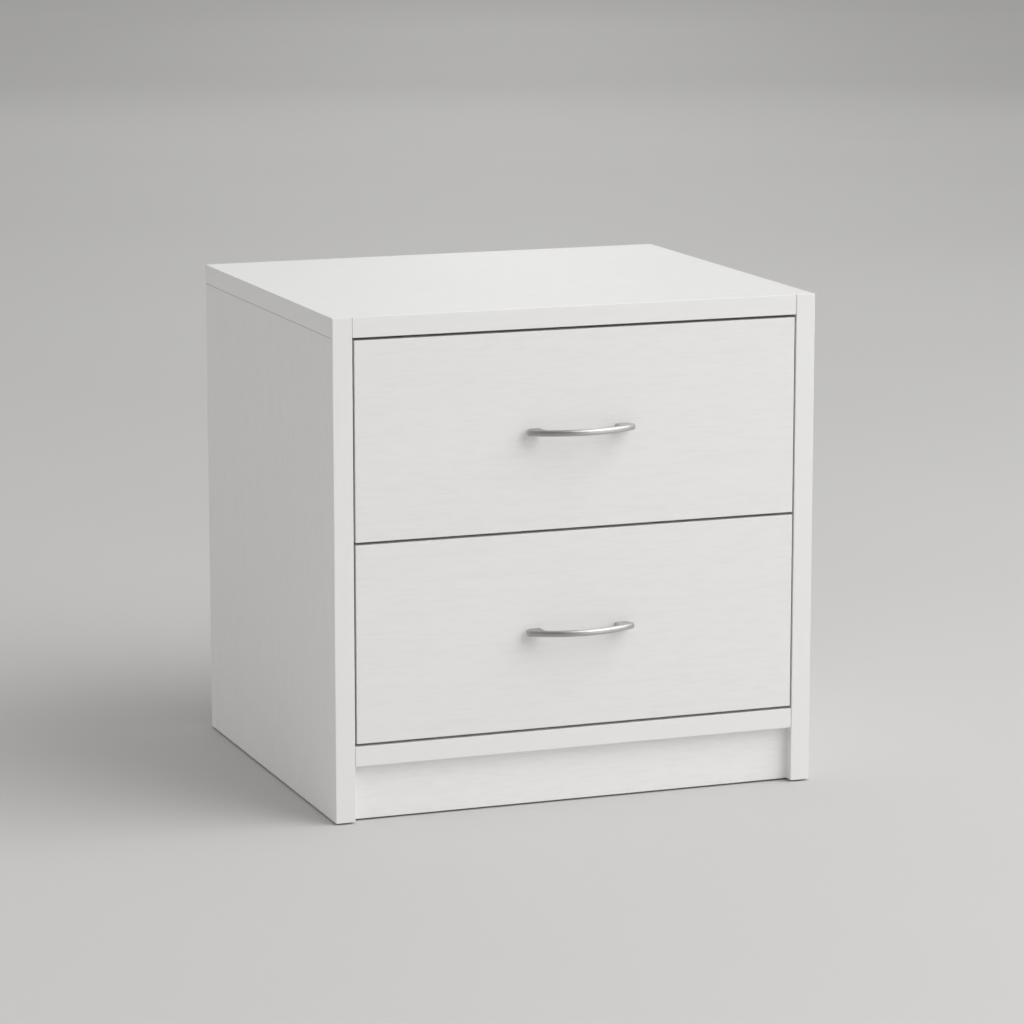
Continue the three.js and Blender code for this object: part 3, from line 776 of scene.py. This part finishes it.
def cam_places():
    """(node, point on the face, direction out of the face) of each cam of the carcass."""
    for side, sign in SIDES.items():
        for place in ("front", "back"):
            node = f"cam_fitting_top_{place}_{side}"
            low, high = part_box(node)
            point = Vector((sign * X_IN, (low.y + high.y) / 2, low.z + CAM_RADIUS))
            yield node, point, Vector((-sign, 0, 0))
            node = f"cam_fitting_bottom_{place}_{side}"
            low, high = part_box(node)
            inner = low.x if sign > 0 else high.x
            point = Vector((inner + sign * CAM_RADIUS, (low.y + high.y) / 2, Z_BOTTOM))
            yield node, point, Vector((0, 0, -1))


def carcass_cams():
    mesh = cam_mesh(CAM_RADIUS, CAM_DEPTH)
    bolt_radius = 3 * MM
    for node, point, outward in cam_places():
        piece, = place_copies(node + "_disc", mesh, [("face", point, outward)], node)
        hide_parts(node)
        low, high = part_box(node)
        start = point - outward * BOARD / 2
        tip = Vector((start.x, start.y, high.z))
        if outward.z:
            tip = Vector((high.x if point.x > 0 else low.x, start.y, start.z))
        reach = tip - start
        bolt = turned(node + "_bolt", bolt_profile(bolt_radius, reach.length), 24)
        stand(bolt, start, reach)
        dress(bolt, node, [ZINC], replaced=False)


def bolt_profile(radius, length):
    """A connecting bolt from z = 0 up: a ball head, a neck, a collar and a ribbed thread."""
    thread = 12 * MM
    neck, collar = 0.6 * radius, length - thread
    profile = [(0, 0), (0.8 * radius, 0.5 * MM), (radius, 2 * MM), (neck, 4 * MM)]
    profile += [(neck, collar - 3 * MM), (radius, collar - 2 * MM), (radius, collar)]
    ribs = 6
    pitch = thread / (ribs + 1)
    for rib in range(ribs):
        base = collar + rib * pitch
        profile += [(0.72 * radius, base + 0.3 * pitch), (radius, base + 0.8 * pitch)]
    return profile + [(0.5 * radius, length - 0.3 * pitch), (0, length)]


def pockets(test):
    """Cutters for the cam pockets whose node passes a test."""
    return [
        cylinder(point, outward, CAM_RADIUS + CAM_AIR, CAM_DEPTH + CAM_AIR, 40)
        for node, point, outward in cam_places() if test(node)
    ]


def back_groove(sign):
    """The cutter for the groove that holds the back panel in a side."""
    return span_block(
        (sign * (X_IN - MM), sign * (hardboard_high.x + GROOVE_AIR)),
        (hardboard_low.y - GROOVE_AIR, hardboard_high.y + GROOVE_AIR),
        (side_low.z - MM, side_high.z + MM),
    )


def carcass_boards():
    board(
        "top_board", "top_panel", MELAMINE_ALONG_X, butted=("front",), bare=("back",),
        banded=("left", "right"), seams={"under": SEAM},
    )
    for side, sign in SIDES.items():
        board(
            f"{side}_side_board", f"side_panel_{side}", MELAMINE_ALONG_Z,
            butted=("front",), bare=("back", "under"), seams={"top": SEAM},
            cutters=[
                back_groove(sign),
                *pockets(lambda node, side=side: "top" in node and node.endswith(side)),
            ],
        )
    board(
        "bottom_board", "bottom_panel", MELAMINE_ALONG_X, butted=("front", "left", "right"),
        bare=("back",), cutters=pockets(lambda node: "bottom" in node),
    )
    # the plinth takes the whiter melamine, painted light for its recess
    board("plinth_front", "plinth_board", PLINTH_LIT_MELAMINE, butted=("left", "right"), bare=("under",))


def hardboard_sheet(name, node, white_side):
    """A raw hardboard panel, lacquered white on one side."""
    piece = block(name, *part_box(node))
    soften(piece, lambda edge: 0.3 * MM, 2)
    white = DIRECTIONS[white_side]
    dress(piece, node, [HARDBOARD, LACQUER], lambda face: int(face.normal.dot(white) > 0.9))


def back_board():
    """The hardboard back: white inside, raw outside, nailed along its lower edge."""
    hardboard_sheet("back_hardboard", "back_panel", "front")
    count, inset = 7, 24 * MM
    head = turned("nail", [
        (0, 0.55 * MM), (1.3 * MM, 0.5 * MM), (2.1 * MM, 0.1 * MM), (2.1 * MM, -0.1 * MM),
        (0.75 * MM, -0.2 * MM), (0.75 * MM, -16 * MM), (0, -18 * MM),
    ], 24)
    height, back = (Z_BOTTOM + Z_FLOOR) / 2, hardboard_high.y
    reach = X_IN - inset
    places = [
        (str(index + 1), (reach * (2 * index / (count - 1) - 1), back, height), (0, 1, 0))
        for index in range(count)
    ]
    place_copies("back_nail", mesh_of(head), places, "back_panel")


def edge_strip(place, band, seams=None):
    """Edge banding, rounded towards the front and butted flat against its board."""
    board(
        f"{place}_front_strip", f"{place}_edge_strip", band, core=band, butted=("back",),
        ease=0.3, rounded={"front": 0.5}, seams=seams,
    )


def edge_strips():
    for side in SIDES:
        edge_strip(side, EDGING_ALONG_Z)
    for place in ("top", "bottom"):
        # the strip ends are painted dark as the shade in the seams, wider on the right, where that seam lies more
        # in shade
        edge_strip(place, EDGING_ALONG_X, {"left": 0.25, "right": 0.5})


def glides():
    for side in SIDES:
        for place in ("front", "back"):
            node = f"glide_{place}_{side}"
            low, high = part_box(node)
            radius, sole = (high.x - low.x) / 2, side_low.z
            centre = (low + high) / 2
            profile = [
                (0, 0.6 * MM), (1.9 * MM, 0.6 * MM), (2.3 * MM, 0.3 * MM), (2.5 * MM, 0),
                (radius - 0.9 * MM, 0), (radius - 0.4 * MM, 0.12 * MM), (radius - 0.08 * MM, 0.45 * MM),
                (radius, 0.9 * MM), (radius, sole), (MM, sole), (MM, high.z - MM), (0, high.z),
            ]
            piece = turned(f"{place}_{side}_glide", profile, 64)
            piece.location = (centre.x, centre.y, 0)
            dress(piece, node, [GLIDE_PLASTIC])


def dowel_looks():
    """The dowels stay as the CAD made them, in raw beech with eased ends."""
    for name, node in frame["nodes"].items():
        if name.startswith("dowel_"):
            paint(node, [BEECH])
            bevel = node.modifiers.new("eased_ends", "BEVEL")
            bevel.width = 0.8 * MM
            bevel.segments = 2
            bevel.limit_method = "ANGLE"
            bevel.angle_limit = math.radians(50)


# ---- Slides ----

DRAWER_TRAVEL = next(
    joint["range_m"][1] for joint in frame["joints"] if joint["name"] == "upper_drawer_travel"
)
DRAWER_BOARD = 12 * MM
STEEL = 1.0 * MM
BEND = 1.0 * MM
AXLE_RADIUS = 3 * MM
SLIDE_SCREWS = (37 * MM, 133 * MM, 293 * MM)  # from the front end of a slide
SLIDE_SCREW_HEIGHT = 13 * MM


def slide_profile(name, node, sign, path, base, web):
    """A bent steel profile with its screw holes.

    path is its centre line as (inwards from the cabinet side, height above base), and web is how
    far inwards the face of the web lies that the holes start from.
    """
    low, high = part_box(node)
    piece = prism(
        name, bent_strip(path, BEND, STEEL), low.y, high.y,
        lambda u, v, w: (sign * (X_IN - u), w, base + v),
    )
    radius, depth = 2.5 * MM, 3 * MM
    cut(piece, [
        cylinder(point, (-sign, 0, 0), radius, depth, 24)
        for point in screw_points(sign * (X_IN - web), low.y, base)
    ])
    dress(piece, node, [EPOXY])


def screw_points(x, y_start, base):
    """The centres of a slide's screws on a face of its web."""
    return [(x, y_start + behind, base + SLIDE_SCREW_HEIGHT) for behind in SLIDE_SCREWS]


def slide_screws(name, mesh, node, x, y_start, base, outward):
    """The screws through a web, which fasten a slide to its board."""
    places = [
        (str(index), point, outward)
        for index, point in enumerate(screw_points(x, y_start, base), start=1)
    ]
    place_copies(name, mesh, places, node)


def axle(name, node, sign, from_in, to_in, wheel):
    """A riveted axle across the slide through a roller's centre, with a domed head at to_in."""
    length = abs(to_in - from_in)
    direction = Vector((-sign if to_in > from_in else sign, 0, 0))
    head, rim = 0.75 * MM, 4 * MM
    profile = [
        (0, 0), (AXLE_RADIUS, 0), (AXLE_RADIUS, length - head),
        (rim, length - head), (3.9 * MM, length - 0.5 * head), (3.1 * MM, length - 0.1 * head),
        (1.2 * MM, length), (0.8 * MM, length - 0.3 * MM), (0, length - 0.35 * MM),
    ]
    piece = turned(name, profile, 40)
    stand(piece, Vector((sign * (X_IN - from_in), wheel.y, wheel.z)), direction)
    paint(piece, [ZINC])
    smooth(piece, 30)
    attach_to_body(piece, BODY_OF[node])


def roller(name, node):
    """A nylon roller: rounded tread, dished sides and a hub round its bore."""
    low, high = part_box(node)
    radius, width = (high.z - low.z) / 2, high.x - low.x
    bore, dish = AXLE_RADIUS + 0.1 * MM, 0.7 * MM
    side = [
        (bore, 0), (4.6 * MM, 0), (5.0 * MM, 0.15 * MM), (5.2 * MM, dish), (8.3 * MM, dish),
        (8.6 * MM, 0.15 * MM), (8.9 * MM, 0), (radius - 0.5 * MM, 0), (radius - 0.15 * MM, 0.15 * MM),
        (radius, 0.5 * MM),
    ]
    profile = side + [(r, width - h) for r, h in reversed(side)] + [side[0]]
    piece = turned(name, profile, 72)
    centre = (low + high) / 2
    stand(piece, Vector((low.x, centre.y, centre.z)), (1, 0, 0))
    dress(piece, node, [NYLON], sharp_above=50)
    return centre


def slide_stop(level, side, sign, flange, base):
    """The bump on the lower flange that the drawer's roller meets when the drawer is right out."""
    clearance, length, rise, inset = 8 * MM, 5 * MM, 3 * MM, 3.5 * MM
    low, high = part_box(f"{level}_drawer_roller_{side}")
    back = (low.y + high.y) / 2 - DRAWER_TRAVEL - clearance
    stop = span_block(
        (sign * (X_IN - inset), sign * (X_IN - flange)),
        (back - length, back),
        (base + STEEL / 2, base + STEEL + rise),
        f"{level}_{side}_slide_stop",
    )
    soften(stop, lambda edge: MM if max(v.co.z for v in edge.verts) > base + 2 * STEEL else 0.0, 4)
    dress(stop, f"{level}_cabinet_slide_{side}", [EPOXY], replaced=False)


def cabinet_slide(level, side, sign, screw):
    """The slide on the cabinet side, open inwards, with its stop, roller, axle and screws."""
    node = f"{level}_cabinet_slide_{side}"
    low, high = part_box(node)
    base, flange, height = low.z, high.x - low.x, high.z - low.z
    half, axle_end = STEEL / 2, 10 * MM
    path = [(flange, half), (half, half), (half, height - half), (flange, height - half)]
    slide_profile(f"{level}_{side}_cabinet_profile", node, sign, path, base, STEEL)
    slide_stop(level, side, sign, flange, base)
    wheel = roller(f"{level}_{side}_cabinet_wheel", f"{level}_cabinet_roller_{side}")
    axle(f"{level}_{side}_cabinet_axle", node, sign, half, axle_end, wheel)
    slide_screws(
        f"{level}_{side}_cabinet_slide_screw", screw, node,
        sign * (X_IN - STEEL), low.y, base, (-sign, 0, 0),
    )


def drawer_slide(level, side, sign, screw):
    """The slide on the drawer side: a rail above, a web, and a foot under the board."""
    node = f"{level}_drawer_slide_{side}"
    low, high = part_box(node)
    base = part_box(f"{level}_cabinet_slide_{side}")[0].z
    rail, top, foot = 2 * MM, high.z - base, low.z - base
    room = X_IN - max(abs(corner.x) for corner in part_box(f"{level}_drawer_side_{side}"))
    half, axle_end = STEEL / 2, 2.5 * MM
    path = [
        (rail, top - half), (room - half, top - half), (room - half, foot + half),
        (room + DRAWER_BOARD, foot + half),
    ]
    slide_profile(f"{level}_{side}_drawer_profile", node, sign, path, base, room - STEEL)
    wheel = roller(f"{level}_{side}_drawer_wheel", f"{level}_drawer_roller_{side}")
    axle(f"{level}_{side}_drawer_axle", node, sign, room - half, axle_end, wheel)
    slide_screws(
        f"{level}_{side}_drawer_slide_screw", screw, node,
        sign * (X_IN - room + STEEL), low.y, base, (sign, 0, 0),
    )


# ---- Drawers ----

DRAWER_CAM_DEPTH = 9.5 * MM
DRAWER_CAMS = {"lower": 42 * MM, "upper": 97 * MM}  # heights above the foot of a drawer side
BACK_SCREWS = {"lower": 40 * MM, "upper": 98 * MM}
HANDLE_BAR = 5.5 * MM
HANDLE_BOW = 15.5 * MM
HANDLE_FOOT = 16 * MM  # from the end of the bar to the inner face of its foot
HANDLE_TAPER = 3 * MM  # how far a foot's outer face leans in on its way to the drawer front


def bow_of(node):
    """The bow handle's centre, outer radius and half length, worked out from its box."""
    low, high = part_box(node)
    half = high.x
    outer = (half ** 2 + HANDLE_BOW ** 2) / (2 * HANDLE_BOW)
    return (0.0, low.y + outer), outer, half


def handle(level):
    """A bow handle: two concentric arcs with rounded ends, and a filleted foot at each end."""
    node = f"{level}_handle"
    low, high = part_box(node)
    centre, outer, half = bow_of(node)
    inner, foot = outer - HANDLE_BAR, half - HANDLE_FOOT
    face, end_round, fillet = high.y, 2.2 * MM, 2.5 * MM
    rim_round, foot_ease = 2.1 * MM, 0.2 * MM
    down = -math.pi / 2

    def tangent(circle, x_line, radius):
        """Where a small circle that touches a vertical line sits inside a large one about centre."""
        x = x_line - radius
        y = centre[1] - math.sqrt((circle - radius) ** 2 - x ** 2)
        return (x, y), math.atan2(y - centre[1], x)

    end_centre, end_angle = tangent(outer, half, end_round)
    foot_centre, foot_angle = tangent(inner, foot, fillet)
    heel = half - HANDLE_TAPER
    across, deep = heel - end_centre[0], face - end_centre[1]
    lean = math.asin(end_round / math.hypot(across, deep)) - math.atan2(across, deep)
    right = arc(centre, outer, down, end_angle, 28)
    right += arc(end_centre, end_round, end_angle, lean, 8)[1:]
    right += [(heel, face), (foot, face)]
    right += arc(foot_centre, fillet, 0.0, foot_angle, 6)
    right += arc(centre, inner, foot_angle, down, 20)[1:]
    outline = right + [(-x, y) for x, y in reversed(right[1:-1])]
    piece = prism(f"{level}_bow_handle", outline, low.z, high.z, lambda u, v, w: (u, v, w))

    def radius_of(edge):
        one, two = (vertex.co for vertex in edge.verts)
        if abs(one.z - two.z) > 1e-6:
            return 0.0
        on_face = min(one.y, two.y) > face - 1e-5
        return foot_ease if on_face else rim_round

    soften(piece, radius_of, 8)
    dress(piece, node, [brushed_nickel(f"brushed_nickel_{level}", centre, outer)], sharp_above=45)


def drawer_side(level, side, sign, cam, flush_screw):
    """A drawer side with its cams near the front end and the screws into the drawer's back."""
    node = f"{level}_drawer_side_{side}"
    low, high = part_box(node)
    bottom_low, bottom_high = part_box(f"{level}_drawer_bottom")
    inner, outer = sorted((abs(low.x), abs(high.x)))
    groove = span_block(
        (sign * (inner - MM), sign * (bottom_high.x + GROOVE_AIR)),
        (low.y - MM, high.y + MM),
        (bottom_low.z - GROOVE_AIR, bottom_high.z + GROOVE_AIR),
    )
    cam_y, pocket_depth = low.y + 24 * MM, DRAWER_CAM_DEPTH + 0.5 * MM
    cams = [
        (suffix, Vector((sign * inner, cam_y, low.z + lift)), Vector((-sign, 0, 0)))
        for suffix, lift in DRAWER_CAMS.items()
    ]
    holes = [
        cylinder(point, out, CAM_RADIUS + CAM_AIR, pocket_depth, 40) for _, point, out in cams
    ]
    board(
        f"{level}_{side}_drawer_board", node, FOIL, ease=0.3, rounded={"top": 1.8},
        butted=("front",), bare=("back", "under"), cutters=[groove, *holes],
    )
    place_copies(f"{level}_{side}_drawer_cam", cam, cams, node)
    head_x, back_y = sign * (outer + 0.1 * MM), high.y - DRAWER_BOARD / 2
    places = [
        (suffix, (head_x, back_y, low.z + lift), (sign, 0, 0))
        for suffix, lift in BACK_SCREWS.items()
    ]
    place_copies(f"{level}_{side}_back_screw", flush_screw, places, node)


def drawer_box(level, cam, flush_screw):
    for side, sign in SIDES.items():
        drawer_side(level, side, sign, cam, flush_screw)
    board(
        f"{level}_drawer_back_board", f"{level}_drawer_back", FOIL, ease=0.3, rounded={"top": 1.8},
        butted=("left", "right"), bare=("under",),
    )
    hardboard_sheet(f"{level}_drawer_base", f"{level}_drawer_bottom", "top")


def drawer_front(level):
    node = f"{level}_drawer_front"
    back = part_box(node)[1].y
    bottom_low, bottom_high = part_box(f"{level}_drawer_bottom")
    groove = span_block(
        (bottom_low.x - GROOVE_AIR, bottom_high.x + GROOVE_AIR),
        (bottom_low.y - GROOVE_AIR, back + MM),
        (bottom_low.z - GROOVE_AIR, bottom_high.z + GROOVE_AIR),
    )
    board(
        f"{level}_front_board", node, MELAMINE_ALONG_X, rounded={"front": 0.45},
        banded=("left", "right", "top", "under"), cutters=[groove],
    )


def handle_screws(level, mesh):
    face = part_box(f"{level}_drawer_front")[1].y
    for side in SIDES:
        node = f"{level}_handle_screw_{side}"
        low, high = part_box(node)
        centre = (low + high) / 2
        places = [(side, (centre.x, face, centre.z), (0, 1, 0))]
        piece, = place_copies(f"{level}_machine_screw", mesh, places, node)
        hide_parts(node)


# ---- Stage, lights and camera ----

def floor():
    """A wide sheet of studio paper."""
    build = bmesh.new()
    bmesh.ops.create_circle(build, cap_ends=True, radius=45.0, segments=96)
    sheet = object_from("studio_floor", build)
    paint(sheet, [paper()])


def softbox(name, place, aim, size, power, turn=0.0, beam=180.0, glints=True):
    """A rectangular area light that points from place to aim, turned about that line by degrees.

    A beam under 180 degrees narrows it, as a honeycomb grid does. Without glints it is left out of
    reflections.
    """
    data = bpy.data.lights.new(name, "AREA")
    data.shape = "RECTANGLE"
    data.size, data.size_y = size
    data.energy = power
    data.spread = math.radians(beam)
    light = add_object(name, data)
    track = (aim - place).to_track_quat("-Z", "Y").to_matrix()
    light.matrix_world = Matrix.Translation(place) @ (
        track @ Matrix.Rotation(math.radians(turn), 3, "Z")
    ).to_4x4()
    light.visible_camera = False
    light.visible_glossy = glints


def towards(azimuth, elevation):
    """A direction in degrees, as seen from the object: azimuth 0 is straight in front of it."""
    turn, rise = math.radians(azimuth), math.radians(elevation)
    return Vector((
        math.sin(turn) * math.cos(rise), -math.cos(turn) * math.cos(rise), math.sin(rise),
    ))


def dim_room(strength, dark_direction):
    """A world of even soft light with one darker patch, the unlit part of the studio."""
    edge, core, darkest = math.radians(38), math.radians(16), 0.15
    world = bpy.data.worlds.new("studio")
    world.use_nodes = True
    tree = world.node_tree
    place = tree.nodes.new("ShaderNodeTexCoord")
    facing = tree.nodes.new("ShaderNodeVectorMath")
    facing.operation = "DOT_PRODUCT"
    facing.inputs[1].default_value = dark_direction
    tree.links.new(place.outputs["Generated"], facing.inputs[0])
    level = tree.nodes.new("ShaderNodeMapRange")
    level.interpolation_type = "SMOOTHSTEP"
    for key, value in (
        ("From Min", math.cos(edge)), ("From Max", math.cos(core)),
        ("To Min", strength), ("To Max", darkest * strength),
    ):
        level.inputs[key].default_value = value
    tree.links.new(facing.outputs["Value"], level.inputs["Value"])
    sky = tree.nodes["Background"]
    sky.inputs["Color"].default_value = (1.0, 1.0, 1.0, 1.0)
    tree.links.new(level.outputs["Result"], sky.inputs["Strength"])
    bpy.context.scene.world = world


def lights():
    middle = Vector((0.0, 0.0, 0.25))
    softbox("key", middle + 4.5 * towards(52, 39), middle, (5.0, 5.0), 209)
    softbox("left_fill", middle + 6 * towards(-90, 10), middle, (3.0, 3.0), 32.3)
    softbox("rear_fill", middle + 7 * towards(160, 18), middle, (6.0, 3.0), 15.2)
    ahead = Vector((0.0, -0.5, 0.1))
    pool_place = ahead + 5 * towards(-18, 12)
    softbox("front_pool", pool_place, ahead, (2.4, 1.2), 1.7, beam=34, glints=False)
    away, square_on = 159.5, -20.5  # away is straight behind the object, as the camera sees it
    for name, distance, height, size, power in (
        ("backdrop_near", 4.6, 1.2, (0.5, 4.0), 4.0),
        ("backdrop_middle", 8.5, 1.5, (0.6, 4.0), 7.6),
        ("backdrop_far", 12.0, 2.6, (2.0, 4.0), 9.4),
    ):
        spot = distance * towards(away, 0)
        softbox(name, spot + Vector((0, 0, height)), spot, size, power, turn=square_on)
    dim_room(0.526, towards(-12, 26))


def camera():
    """A long lens that looks down on the front left corner."""
    back, distance = towards(-20.45, 10.78), 3.8075
    low, high = cad_bounds
    aim = Vector((4.5 * MM, -1.7 * MM, (low.z + high.z) / 2 + 8.3 * MM))
    data = bpy.data.cameras.new("camera")
    data.lens = 144.16
    data.sensor_width = 36
    data.clip_end = 200
    eye = add_object("camera", data)
    eye.location = aim + back * distance
    eye.rotation_euler = (-back).to_track_quat("-Z", "Y").to_euler()
    bpy.context.scene.camera = eye


# ---- Assembly ----

camera()
floor()
lights()
bpy.context.scene.view_settings.view_transform = "Standard"

carcass_boards()
back_board()
edge_strips()
glides()
dowel_looks()
carcass_cams()

slide_screw = screw_mesh(
    head_radius=3.4 * MM, head_height=1.1 * MM, shank_radius=1.9 * MM, length=10 * MM,
)
machine_screw = screw_mesh(
    head_radius=4 * MM, head_height=2.5 * MM, shank_radius=2 * MM, length=23 * MM,
)
flush_screw = flush_screw_mesh(head_radius=3.4 * MM, shank_radius=1.8 * MM, length=30 * MM)
drawer_cam = cam_mesh(CAM_RADIUS, DRAWER_CAM_DEPTH)
for drawer_level in LEVELS:
    for slide_side, slide_sign in SIDES.items():
        cabinet_slide(drawer_level, slide_side, slide_sign, slide_screw)
        drawer_slide(drawer_level, slide_side, slide_sign, slide_screw)
    drawer_front(drawer_level)
    drawer_box(drawer_level, drawer_cam, flush_screw)
    handle(drawer_level)
    handle_screws(drawer_level, machine_screw)
